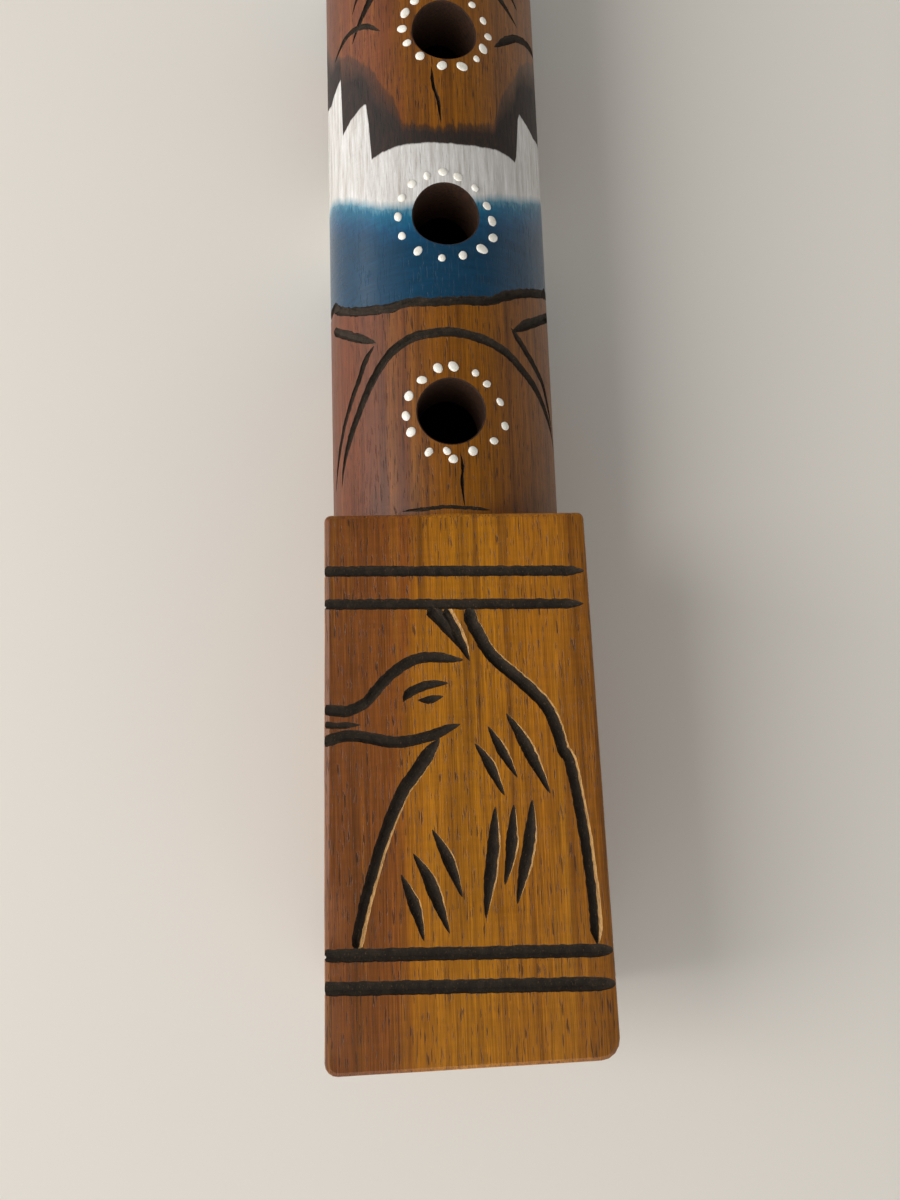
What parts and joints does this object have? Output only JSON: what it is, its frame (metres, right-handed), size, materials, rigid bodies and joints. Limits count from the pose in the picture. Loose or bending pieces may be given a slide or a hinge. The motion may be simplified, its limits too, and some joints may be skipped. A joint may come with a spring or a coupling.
{
  "type": "tarka flute",
  "caption": "Carved wooden duct flute with a square head and foot, a round barrel, a row of finger holes, a window with a sloping lip and a plug that forms the windway.",
  "frame": {"origin": "below the middle of the flute's length, on the plane that the flat backs of its head and foot lie on", "axes": "+X across the flute, +Y from the foot end to the mouth end, +Z out of the finger holes"},
  "size_m": [0.0368, 0.43, 0.035],
  "materials": {
    "varnished_hardwood": "varnished two-tone hardwood, straight grained, dark stain in its carving",
    "plug_wood": "bare, finely sawn light hardwood",
    "white_enamel": "hand-applied gloss enamel"
  },
  "bodies": {
    "root": {"body": "varnished_hardwood", "windway_plug": "plug_wood"}
  },
  "joints": []
}
